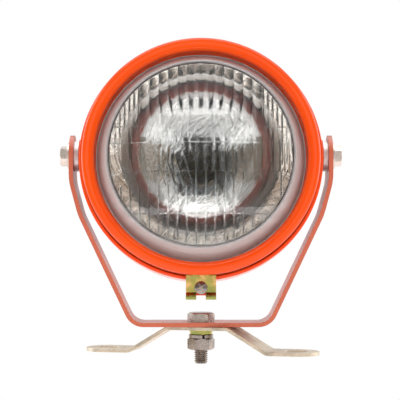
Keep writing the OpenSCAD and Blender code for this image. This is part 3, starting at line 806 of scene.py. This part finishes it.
def housing_section(shells):
    """Half section of the housing's bowl, hem and ledge."""
    inner_r = HOUSING_R - STEEL_T
    inner_round = HOUSING_ROUND - STEEL_T
    round_at = (HOUSING_R - HOUSING_ROUND, HOUSING_ROUND - HOUSING_BACK)
    edge = shells.edge_round / MM
    return (
        [(HEM_R, HOUSING_MOUTH, HEM_INNER_ROUND), (HOUSING_R, HOUSING_MOUTH, shells.hem_round / MM)]
        + arc(round_at, (HOUSING_ROUND, HOUSING_ROUND), 0, -90, BOWL_STEPS)
        + [(0, -HOUSING_BACK, 0), (0, STEEL_T - HOUSING_BACK, 0)]
        + arc(round_at, (inner_round, inner_round), -90, 0, BOWL_STEPS)
        + [
            (inner_r, LEDGE_BACK, 0),
            (LEDGE_R, LEDGE_BACK, edge),
            (LEDGE_R, LEDGE_BACK + STEEL_T, edge),
            (inner_r, LEDGE_BACK + STEEL_T, 0),
            (inner_r, HOUSING_MOUTH - HEM_LEN, 0),
            (HEM_R, HOUSING_MOUTH - HEM_LEN, edge),
        ]
    )


def on_pivot(side):
    """Place of a bar whose Z runs outward along a pivot, in the lamp's frame."""
    return Matrix.Translation((0, AXIS_DROP * MM, 0)) @ Matrix.Rotation(side * math.pi / 2, 4, "Y")


def screw_tab():
    """The housing's tab for the rim screw, with its lower corners rounded."""
    root_r = HOUSING_R - STEEL_T / 2
    tab = box((-TAB_W / 2, -TAB_END, HOUSING_MOUTH - TAB_T), (TAB_W / 2, -root_r, HOUSING_MOUTH))
    outside = [edge for edge in tab.edges if all(vert.co.y < -root_r * MM - MM for vert in edge.verts)]
    corners = [edge for edge in outside if abs(edge.verts[0].co.z - edge.verts[1].co.z) > MM]
    bmesh.ops.bevel(
        tab, geom=corners, offset=TAB_ROUND * MM, offset_type="OFFSET", affect="EDGES",
        segments=8, profile=0.5, material=-1,
    )
    return tab


def make_housing(shells):
    """Housing with its pivot pads, screw tab and cable hole."""
    pad_face = HOUSING_R + PAD_PROUD
    pad_inner = pad_face - STEEL_T
    low = pad_inner - 4 * STEEL_T
    bowl = spin(housing_section(shells), shells.spin_steps)
    added = []
    dished = []
    holes = []
    for side in (-1, 1):
        place = on_pivot(side)
        added.append(round_bar(PAD_R, pad_face - 3 * STEEL_T, pad_face, place, PAD_ROUND, PAD_STEPS))
        dished.append(round_bar(PAD_R - STEEL_T, low, pad_inner, place, 0, PAD_STEPS))
        holes.append(round_bar(BOLT_HOLE_R, low, pad_face + STEEL_T, place))
    added.append(screw_tab())
    screw_place = Matrix.Translation((0, -SCREW_DROP * MM, 0))
    holes.append(round_bar(SCREW_HOLE_R, HOUSING_MOUTH - 2 * TAB_T, HOUSING_MOUTH + TAB_T, screw_place))
    cable_place = Matrix.Translation((0, -GROMMET_DROP * MM, 0))
    holes.append(
        round_bar(GROMMET_HOLE_R, -HOUSING_BACK - STEEL_T, 2 * STEEL_T - HOUSING_BACK, cable_place)
    )
    bowl = boolean(bowl, joined(added), "UNION")
    bowl = boolean(bowl, joined(dished), "DIFFERENCE")
    bowl = boolean(bowl, joined(holes), "DIFFERENCE")
    add_piece("housing_bowl", in_lamp(bowl), "head", finish_of("enamel"), ["housing"])


def make_reflector(shells):
    """Mirror bowl on a parabola, with its flange and collar."""
    vertex = REFLECTOR_FRONT - MOUTH_R ** 2 / (4 * FOCAL_LEN)
    inner = []
    outer = []
    for k in range(PARABOLA_STEPS + 1):
        r = BULB_OPENING_R + (MOUTH_R - BULB_OPENING_R) * k / PARABOLA_STEPS
        height = vertex + r * r / (4 * FOCAL_LEN)
        slope = math.atan(r / (2 * FOCAL_LEN))
        inner.append((r, height, 0))
        outer.append((r + REFLECTOR_T * math.sin(slope), height - REFLECTOR_T * math.cos(slope), 0))
    mouth_slope = math.atan(MOUTH_R / (2 * FOCAL_LEN))
    turn_in = REFLECTOR_T / math.sin(mouth_slope) - REFLECTOR_T / math.tan(mouth_slope)
    section = (
        inner
        + [
            (REFLECTOR_R, REFLECTOR_FRONT, REFLECTOR_ROUND),
            (REFLECTOR_R, REFLECTOR_FRONT - REFLECTOR_T, REFLECTOR_ROUND),
            (MOUTH_R + turn_in, REFLECTOR_FRONT - REFLECTOR_T, 0),
        ]
        + outer[-2:0:-1]
        + [
            (BULB_OPENING_R + REFLECTOR_T, inner[0][1] - REFLECTOR_T, 0),
            (BULB_OPENING_R + REFLECTOR_T, REFLECTOR_BACK, 0),
            (BULB_OPENING_R, REFLECTOR_BACK, 0),
        ]
    )
    bowl = in_lamp(spin(section, shells.spin_steps))
    add_piece("reflector_bowl", bowl, "head", finish_of("mirror"), ["reflector"])


# Heights of the borders between the rows of the lens's pattern, from its middle, in millimetres
ROW_BORDERS = (18.3, 6.9, -13.2, -41.9)
# Curved flutes stand above this height, and to the right of the middle line down to a lower one
FLUTES_ABOVE = 6.9
RIGHT_FLUTES_ABOVE = -13.2
MIDDLE_LINE = -4
# Narrow flutes stand beyond this distance to either side
NARROW_BEYOND = 42
# The slanting blocks at the left of the middle row, their slant, and the height where they meet the
# upright ones
SLANT_AREA = ((-70, -23), (MIDDLE_LINE, 6.9))
SLANT = math.tan(math.radians(17))
SLANT_FOOT = -8
# The bare square pad, and half the width of a ridge
PAD_AREA = ((28.5, -41.9), (50.5, -19.7))
RIDGE_HALF_W = 0.32
# Depth of the pattern's shallower rows, and the width of the plain border round the pattern
PATTERN_LEVEL = 0.3
PLAIN_BORDER = 0.01
# How strongly the grid's lines crowd at the borders of the flutes
CROWDING = 1.6


def inside(area, x, y):
    """Whether a point lies in an area given by its low and high corners."""
    (low_x, low_y), (high_x, high_y) = area
    return low_x <= x <= high_x and low_y <= y <= high_y


def off_line(x, width):
    """How far x lies from the middle of its flute, as a part of the flute's width."""
    return x / width - round(x / width)


def crowded(x, width):
    """Moves x towards the border of its flute, so that a grid has more lines there."""
    off = off_line(x, width)
    moved = 1 - (1 - min(2 * abs(off), 1)) ** CROWDING
    return (round(x / width) + math.copysign(moved / 2, off)) * width


def pattern_depth(x, y, glass):
    """Depth that the pressed pattern takes off the lens's inner face at a point, all in millimetres."""
    width = glass.flute_width / MM
    row = sum(1 for border in ROW_BORDERS if y < border)
    level = PATTERN_LEVEL + glass.row_step / MM * (row % 2)
    if inside(PAD_AREA, x, y):
        return level
    if y > FLUTES_ABOVE or (x > MIDDLE_LINE and y > RIGHT_FLUTES_ABOVE):
        if abs(x) > NARROW_BEYOND:
            width /= 2
        return level + glass.flute_depth / MM * 4 * off_line(x, width) ** 2
    lean = SLANT * (y - SLANT_FOOT) if inside(SLANT_AREA, x, y) else 0
    to_border = (0.5 - abs(off_line(x + lean, width))) * width
    return level - glass.ridge_height / MM * math.exp(-((to_border / RIDGE_HALF_W) ** 2))


def lens_pattern(glass, dome_r, radius):
    """Inner face of the lens as an upright grid, drawn in to a circle of a radius."""
    count = 2 * math.ceil(radius / (glass.flute_width / MM)) * glass.flute_steps
    half = count / glass.flute_steps * glass.flute_width / 2
    mesh = bmesh.new()
    bmesh.ops.create_grid(mesh, x_segments=count, y_segments=count, size=half)
    for vert in mesh.verts:
        vert.co.x = crowded(vert.co.x, glass.flute_width)
    limit = radius * MM
    beyond = [face for face in mesh.faces if all(vert.co.length > limit for vert in face.verts)]
    bmesh.ops.delete(mesh, geom=beyond, context="FACES")
    loose = [vert for vert in mesh.verts if not vert.link_faces]
    bmesh.ops.delete(mesh, geom=loose, context="VERTS")
    for vert in mesh.verts:
        if vert.co.length > limit:
            vert.co *= limit / vert.co.length
    bmesh.ops.remove_doubles(mesh, verts=mesh.verts, dist=MERGE)
    inner_r = dome_r - LENS_WALL
    middle = LENS_CREST - dome_r
    for vert in mesh.verts:
        x, y = vert.co.x / MM, vert.co.y / MM
        flat = math.sqrt(inner_r ** 2 - x * x - y * y) + middle
        if math.hypot(x, y) < radius - PLAIN_BORDER:
            flat += pattern_depth(x, y, glass)
        vert.co.z = flat * MM
    return mesh


def make_lens(shells, glass):
    """Lens, smooth outside, with its pattern pressed inside."""
    dome_r = (LENS_FRONT_R ** 2 + LENS_DOME ** 2) / (2 * LENS_DOME)
    dome_mid = LENS_CREST - dome_r
    dome_angle = math.degrees(math.asin(LENS_FRONT_R / dome_r))
    flange_front = LENS_BACK + LENS_FLANGE_T
    base_inner_r = LENS_BASE_R - LENS_WALL
    front_inner_r = LENS_FRONT_R - LENS_WALL
    front_inner = math.sqrt((dome_r - LENS_WALL) ** 2 - front_inner_r ** 2) + dome_mid
    section = (
        [
            (front_inner_r, front_inner, 0),
            (base_inner_r, flange_front, LENS_INNER_ROUND),
            (base_inner_r, LENS_BACK, LENS_FLANGE_ROUND),
            (LENS_FLANGE_R, LENS_BACK, LENS_FLANGE_ROUND),
            (LENS_FLANGE_R, flange_front, LENS_FLANGE_ROUND),
            (LENS_BASE_R, flange_front, LENS_OUTER_ROUND),
            (LENS_FRONT_R, LENS_CREST - LENS_DOME, LENS_OUTER_ROUND),
        ]
        + arc((0, dome_mid), (dome_r, dome_r), 90 - DOME_SHARE * dome_angle, 90, DOME_STEPS)
    )
    shell = spin(section, shells.spin_steps, is_open=True)
    whole = joined([shell, lens_pattern(glass, dome_r, front_inner_r)])
    border = [edge for edge in whole.edges if edge.is_boundary]
    bmesh.ops.bridge_loops(whole, edges=border)
    bmesh.ops.remove_doubles(whole, verts=whole.verts, dist=MERGE)
    bmesh.ops.recalc_face_normals(whole, faces=whole.faces)
    add_piece("fluted_lens", in_lamp(whole), "head", finish_of("glass"), ["lens"])


# The swivel bolt's radius, pitch, thread depth, head and plain shank, in millimetres
SWIVEL_R = 5
SWIVEL_PITCH = 1.5
THREAD_DEPTH = 0.85
SWIVEL_HEAD_H = 6.4
PLAIN_SHANK = 6
# How far the shank runs into the head and thread, and how much of the head's underside is cut away
SHANK_LAP = 0.1
HEAD_TRIM = 0.02
# The power that shapes a groove, and the slope of the tip's taper and its depth as a share of the thread's
GROOVE_POWER = 0.7
TIP_SLOPE = 0.8
TIP_SHARE = 1.4


def threaded_bar(radius, pitch, depth, low, high, steps=48, rings=10):
    """Closed bar along Z with a helical thread, tapered at its low end, all in millimetres."""
    count = math.ceil((high - low) / pitch * rings)
    section = [(0, low, 0)]
    section += [(radius, low + (high - low) * k / count, 0) for k in range(count + 1)]
    section += [(0, high, 0)]
    mesh = spin(section, steps)
    for vert in mesh.verts:
        reach = math.hypot(vert.co.x, vert.co.y)
        if reach < MERGE:
            continue
        height = vert.co.z / MM
        phase = height / pitch - math.atan2(vert.co.y, vert.co.x) / FULL_TURN
        groove = depth * (0.5 + 0.5 * math.cos(FULL_TURN * phase)) ** GROOVE_POWER
        taper = max(0, low + pitch - height) * TIP_SLOPE
        wanted = radius - max(groove, min(taper, TIP_SHARE * depth))
        vert.co.x *= wanted * MM / reach
        vert.co.y *= wanted * MM / reach
    return mesh


def above(mesh, height):
    """The part of a closed mesh above a height in metres, closed again."""
    cut = bmesh.ops.bisect_plane(
        mesh, geom=mesh.verts[:] + mesh.edges[:] + mesh.faces[:],
        plane_co=(0, 0, height), plane_no=(0, 0, 1), clear_inner=True,
    )
    edges = [part for part in cut["geom_cut"] if isinstance(part, bmesh.types.BMEdge)]
    bmesh.ops.holes_fill(mesh, edges=edges)
    return mesh


def make_swivel():
    """Swivel bolt with a cut thread, its nut, spring washer and seat."""
    low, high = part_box("swivel_bolt")
    head_at = high.z / MM - SWIVEL_HEAD_H
    head = above(node_mesh("swivel_bolt"), (head_at + HEAD_TRIM) * MM)
    thread = threaded_bar(SWIVEL_R, SWIVEL_PITCH, THREAD_DEPTH, low.z / MM, head_at - PLAIN_SHANK)
    shank = round_bar(SWIVEL_R, head_at - (PLAIN_SHANK + SHANK_LAP), head_at + SHANK_LAP)
    whole = joined([head, shank, thread])
    zinc = finish_of("fastener")
    bolt = add_piece("swivel_hex_bolt", whole, "strap", zinc, ["swivel_bolt"], sharp=40)
    soften(bolt, width=0.22, angle=50)
    dressed("swivel_nut", "swivel_hex_nut", "strap", zinc, edge=0.22)
    dressed("swivel_spring_washer", "split_spring_washer", "strap", zinc, edge=0.25)
    dressed("swivel_seat", "tapered_seat", "strap", finish_of("chromate"), edge=0.3)


def make_pivots():
    """Pivot bolts, washers, spacers and nuts on both sides."""
    outer = finish_of("pivot")
    inner = finish_of("fastener")
    pale = finish_of("spacer")
    for side in ("left", "right"):
        dressed(f"pivot_bolt_{side}", f"hex_bolt_{side}", "head", outer, edge=0.2)
        dressed(f"pivot_washer_{side}", f"flat_washer_{side}", "head", outer, edge=0.3)
        dressed(f"pivot_spacer_{side}", f"spacer_{side}", "head", pale, edge=0.3)
        dressed(f"pivot_nut_{side}", f"hex_nut_{side}", "head", inner, edge=0.2)


def make_clip():
    """Rim clip, its screw and its square nut."""
    dressed("rim_clip", "clip_plate", "head", finish_of("chromate"), edge=0.28)
    dressed("rim_nut", "square_nut", "head", finish_of("fastener"), edge=0.25)
    dressed("rim_screw", "clip_screw", "head", finish_of("fastener"), edge=0.15)


# The camera's film width in millimetres, its sideways shift as a share of that width, and the nearest
# distance that it shows, in metres
FILM_W = 36
FILM_SHIFT = -0.0025
NEAREST = 0.05
# The floor's width, and how far it lies below the object, in metres
FLOOR_W = 12
FLOOR_DROP = 0.5 * MM


def make_stage(stage):
    """Camera, pale floor, surround, lights and the cards that the gloss reflects."""
    scene = bpy.context.scene
    scene.view_settings.view_transform = "Standard"
    lens = bpy.data.cameras.new("photo_camera")
    lens.lens = stage.focal_length
    lens.sensor_width = FILM_W
    lens.shift_x = FILM_SHIFT
    lens.clip_start = NEAREST
    camera = bpy.data.objects.new("photo_camera", lens)
    distance = stage.camera_distance
    camera.location = (distance * math.sin(REST_YAW), -distance * math.cos(REST_YAW), stage.camera_height)
    camera.rotation_euler = (stage.camera_tilt, 0, REST_YAW)
    scene.collection.objects.link(camera)
    scene.camera = camera

    world = bpy.data.worlds.new("pale_surround")
    world.use_nodes = True
    world.node_tree.nodes["Background"].inputs["Color"].default_value = (1, 1, 1, 1)
    world.node_tree.nodes["Background"].inputs["Strength"].default_value = stage.surround
    scene.world = world

    floor_z = cad_low.z - FLOOR_DROP
    sheet = flat_sheet(is_round=True)
    sheet.transform(Matrix.Translation((0, 0, floor_z)) @ Matrix.Diagonal((FLOOR_W, FLOOR_W, 1, 1)))
    floor = add_sheet("floor", sheet, finish_of("paper"))
    floor.visible_camera = False
    for name, around, up, distance, width, height, is_round, tints in CARDS:
        add_card(name, is_round, tints, aimed(around, up, distance), width, height)
    ahead = Vector((math.sin(REST_YAW), -math.cos(REST_YAW), 0)) * TABLE_AT
    ahead.z = floor_z + MM
    add_card("dark_table", True, DARK_TINTS, Matrix.Translation(ahead), TABLE_W, TABLE_W)
    add_card("dark_card", True, DARK_TINTS, aimed(0, CARD_UP, CARD_AT), CARD_W, CARD_W)
    for light in LAMPS:
        add_light(*light)


# A tint is a height, from 0 at a card's foot to 1 at its head, and a colour whose values are its brightness
DARK_ROOM_TINTS = ((0.6, (0.040, 0.039, 0.036)), (0.68, (0.17, 0.19, 0.19)), (1, (0.36, 0.42, 0.47)))
PALE_SCREEN_TINTS = (
    (0.2, (2.6, 2.5, 2.4)), (0.42, (0.90, 0.66, 0.50)), (0.6, (0.90, 0.70, 0.58)), (0.85, (1.4, 1.27, 1.13))
)
OCHRE_TINTS = ((0.4, (0.40, 0.25, 0.12)), (1, (0.5, 0.38, 0.24)))
BEIGE_TINTS = ((0.4, (0.34, 0.32, 0.26)), (1, (0.62, 0.6, 0.54)))
BROWN_TINTS = ((0.4, (0.22, 0.17, 0.12)), (1, (0.36, 0.32, 0.26)))
DARK_TINTS = ((0, (0.045, 0.043, 0.040)),)
BRIGHT_TINTS = ((0, (3, 3, 3)),)
WINDOW_TINTS = ((0, (4, 4, 4)),)
# Cards that only reflections and refractions see: name, degrees round from the lamp's front, degrees up,
# distance, width and height in metres, whether round, and tints
CARDS = (
    ("dark_room", -4, 11.7, 0.85, 1.57, 1.57, True, DARK_ROOM_TINTS),
    ("pale_screen", 0, 3, 0.45, 0.30, 0.30, True, PALE_SCREEN_TINTS),
    ("ceiling_light", 0, 70, 1.1, 1.5, 0.55, False, BRIGHT_TINTS),
    ("ceiling_rear", 0, 104, 1.1, 1.5, 0.8, False, BRIGHT_TINTS),
    ("left_window", -104, 12, 1.2, 0.8, 1.2, False, WINDOW_TINTS),
    ("right_window", 104, 12, 1.2, 0.8, 1.2, False, WINDOW_TINTS),
    ("ochre_wall", 52, 7, 0.5, 0.125, 0.36, False, OCHRE_TINTS),
    ("beige_wall", 66, 7, 0.5, 0.14, 0.36, False, BEIGE_TINTS),
    ("brown_wall", -60, 7, 0.5, 0.275, 0.36, False, BROWN_TINTS),
)
# A round dark table top on the floor: how far forward its middle lies, and its width, in metres
TABLE_AT = 0.53
TABLE_W = 0.5
# A small dark card held before the lens: how far ahead, its width, both in metres, and the degrees up
CARD_AT = 0.12
CARD_W = 0.094
CARD_UP = 4
# Soft lights: name, degrees round from the lamp's front, degrees up, distance, size in metres, and power
LAMPS = (
    ("key_light", -25, 50, 1.6, 0.8, 0.8),
    ("front_fill", 0, 2, 1.6, 0.9, 4),
)


def aimed(around, up, distance):
    """Place at a distance from the lamp's middle, facing it."""
    heading = REST_YAW + math.radians(around)
    rise = math.radians(up)
    way = Vector((
        math.sin(heading) * math.cos(rise),
        -math.cos(heading) * math.cos(rise),
        math.sin(rise),
    ))
    centre = PIVOT + way * distance
    return Matrix.Translation(centre) @ way.to_track_quat("Z", "Y").to_matrix().to_4x4()


def flat_sheet(is_round):
    """Round or square sheet of width 1."""
    sheet = bmesh.new()
    if is_round:
        bmesh.ops.create_circle(sheet, cap_ends=True, radius=0.5, segments=96)
    else:
        bmesh.ops.create_grid(sheet, x_segments=1, y_segments=1, size=0.5)
    return sheet


def add_sheet(name, sheet, material):
    """Object made of a sheet, which is used up."""
    data = bpy.data.meshes.new(name)
    sheet.to_mesh(data)
    sheet.free()
    data.materials.append(material)
    holder = bpy.data.objects.new(name, data)
    bpy.context.scene.collection.objects.link(holder)
    return holder


def glow_material(name, tints):
    """Material that gives off light, tinted by height."""
    made = bpy.data.materials.new(name)
    made.use_nodes = True
    tree = made.node_tree
    tree.nodes.clear()
    glow = tree.nodes.new("ShaderNodeEmission")
    strength = max(max(tint) for height, tint in tints)
    shades = [[channel / strength for channel in tint] for height, tint in tints]
    heights = [height for height, tint in tints]
    if len(tints) == 1:
        glow.inputs["Color"].default_value = (*shades[0], 1)
    else:
        coordinates = tree.nodes.new("ShaderNodeTexCoord")
        apart = tree.nodes.new("ShaderNodeSeparateXYZ")
        tree.links.new(coordinates.outputs["Generated"], apart.inputs["Vector"])
        shade = blend_colours(tree, apart.outputs["Y"], shades, heights)
        tree.links.new(shade, glow.inputs["Color"])
    glow.inputs["Strength"].default_value = strength
    output = tree.nodes.new("ShaderNodeOutputMaterial")
    tree.links.new(glow.outputs["Emission"], output.inputs["Surface"])
    return made


def add_card(name, is_round, tints, place, width, height):
    """Glowing sheet of a width and height at a place, which only reflections and refractions see."""
    card = add_sheet(name, flat_sheet(is_round), glow_material(name, tints))
    card.matrix_world = place @ Matrix.Diagonal((width, height, 1, 1))
    card.visible_camera = False
    card.visible_diffuse = False
    card.visible_shadow = False


def add_light(name, around, up, distance, size, power):
    """Soft square light."""
    light = bpy.data.lights.new(name, "AREA")
    light.size = size
    light.energy = power
    lamp = bpy.data.objects.new(name, light)
    lamp.matrix_world = aimed(around, up, distance)
    lamp.visible_glossy = False
    lamp.visible_transmission = False
    bpy.context.scene.collection.objects.link(lamp)


class WORKLIGHT_OT_stage(bpy.types.Operator):
    """Add the camera, the pale floor and the studio light"""

    bl_idname = "worklight.stage"
    bl_label = "Stage"

    def execute(self, context):
        make_stage(context.scene.work_light_stage)
        return {"FINISHED"}


class WORKLIGHT_OT_housing(bpy.types.Operator):
    """Add the enamelled housing"""

    bl_idname = "worklight.housing"
    bl_label = "Housing"

    def execute(self, context):
        make_housing(context.scene.work_light_shells)
        return {"FINISHED"}


class WORKLIGHT_OT_rim(bpy.types.Operator):
    """Add the enamelled rim"""

    bl_idname = "worklight.rim"
    bl_label = "Rim"

    def execute(self, context):
        make_rim(context.scene.work_light_shells)
        return {"FINISHED"}


class WORKLIGHT_OT_reflector(bpy.types.Operator):
    """Add the mirror bowl"""

    bl_idname = "worklight.reflector"
    bl_label = "Reflector"

    def execute(self, context):
        make_reflector(context.scene.work_light_shells)
        return {"FINISHED"}


class WORKLIGHT_OT_lens(bpy.types.Operator):
    """Add the fluted glass lens"""

    bl_idname = "worklight.lens"
    bl_label = "Lens"

    def execute(self, context):
        make_lens(context.scene.work_light_shells, context.scene.work_light_glass)
        return {"FINISHED"}


class WORKLIGHT_OT_inner_parts(bpy.types.Operator):
    """Finish the seals, bulb, holder and cable inlet"""

    bl_idname = "worklight.inner_parts"
    bl_label = "Inner Parts"

    def execute(self, context):
        finish_nodes(finish_of("rubber"), "lens_seal", "body_seal")
        finish_nodes(finish_of("bulb"), "bulb_glass", "bulb_stem")
        finish_nodes(finish_of("brass"), "live_contact", "earth_terminal", "bulb_cap")
        finish_nodes(finish_of("insulator"), "holder_insulator")
        finish_nodes(finish_of("fastener"), "bulb_holder")
        finish_nodes(finish_of("tungsten"), "bulb_filament")
        dressed("cable_grommet", "rubber_grommet", "head", finish_of("rubber"), 0.5)
        return {"FINISHED"}


class WORKLIGHT_OT_yoke(bpy.types.Operator):
    """Add the enamelled yoke"""

    bl_idname = "worklight.yoke"
    bl_label = "Yoke"

    def execute(self, context):
        dressed("yoke", "bent_yoke", "yoke", finish_of("faded"), 0.55)
        return {"FINISHED"}


class WORKLIGHT_OT_strap(bpy.types.Operator):
    """Add the plated mounting strap"""

    bl_idname = "worklight.strap"
    bl_label = "Mounting Strap"

    def execute(self, context):
        dressed("mount_strap", "bent_strap", "strap", finish_of("strap"), 0.4)
        return {"FINISHED"}


class WORKLIGHT_OT_fasteners(bpy.types.Operator):
    """Add the swivel bolt, the pivots and the rim clip"""

    bl_idname = "worklight.fasteners"
    bl_label = "Fasteners"

    def execute(self, context):
        make_swivel()
        make_pivots()
        make_clip()
        return {"FINISHED"}


class WORKLIGHT_PT_sidebar(bpy.types.Panel):
    """Buttons for each piece of the work light"""

    bl_idname = "WORKLIGHT_PT_sidebar"
    bl_label = "Work Light"
    bl_space_type = "VIEW_3D"
    bl_region_type = "UI"
    bl_category = "Work Light"

    def draw(self, context):
        for operator in OPERATORS:
            self.layout.operator(operator.bl_idname)


GROUPS = {
    "work_light_shells": WorkLightShells,
    "work_light_glass": WorkLightGlass,
    "work_light_finish": WorkLightFinish,
    "work_light_stage": WorkLightStage,
}
OPERATORS = (
    WORKLIGHT_OT_stage,
    WORKLIGHT_OT_housing,
    WORKLIGHT_OT_rim,
    WORKLIGHT_OT_reflector,
    WORKLIGHT_OT_lens,
    WORKLIGHT_OT_inner_parts,
    WORKLIGHT_OT_yoke,
    WORKLIGHT_OT_strap,
    WORKLIGHT_OT_fasteners,
)


def register():
    """Registers the settings, operators and panel."""
    for name, group in GROUPS.items():
        bpy.utils.register_class(group)
        setattr(bpy.types.Scene, name, bpy.props.PointerProperty(type=group))
    for operator in OPERATORS:
        bpy.utils.register_class(operator)
    bpy.utils.register_class(WORKLIGHT_PT_sidebar)


def unregister():
    """Takes back what register added."""
    bpy.utils.unregister_class(WORKLIGHT_PT_sidebar)
    for operator in reversed(OPERATORS):
        bpy.utils.unregister_class(operator)
    for name, group in GROUPS.items():
        delattr(bpy.types.Scene, name)
        bpy.utils.unregister_class(group)


def main():
    """Makes every piece and the stage."""
    register()
    bpy.ops.worklight.stage()
    bpy.ops.worklight.housing()
    bpy.ops.worklight.rim()
    bpy.ops.worklight.reflector()
    bpy.ops.worklight.lens()
    bpy.ops.worklight.inner_parts()
    bpy.ops.worklight.yoke()
    bpy.ops.worklight.strap()
    bpy.ops.worklight.fasteners()


if __name__ == "__main__":
    main()
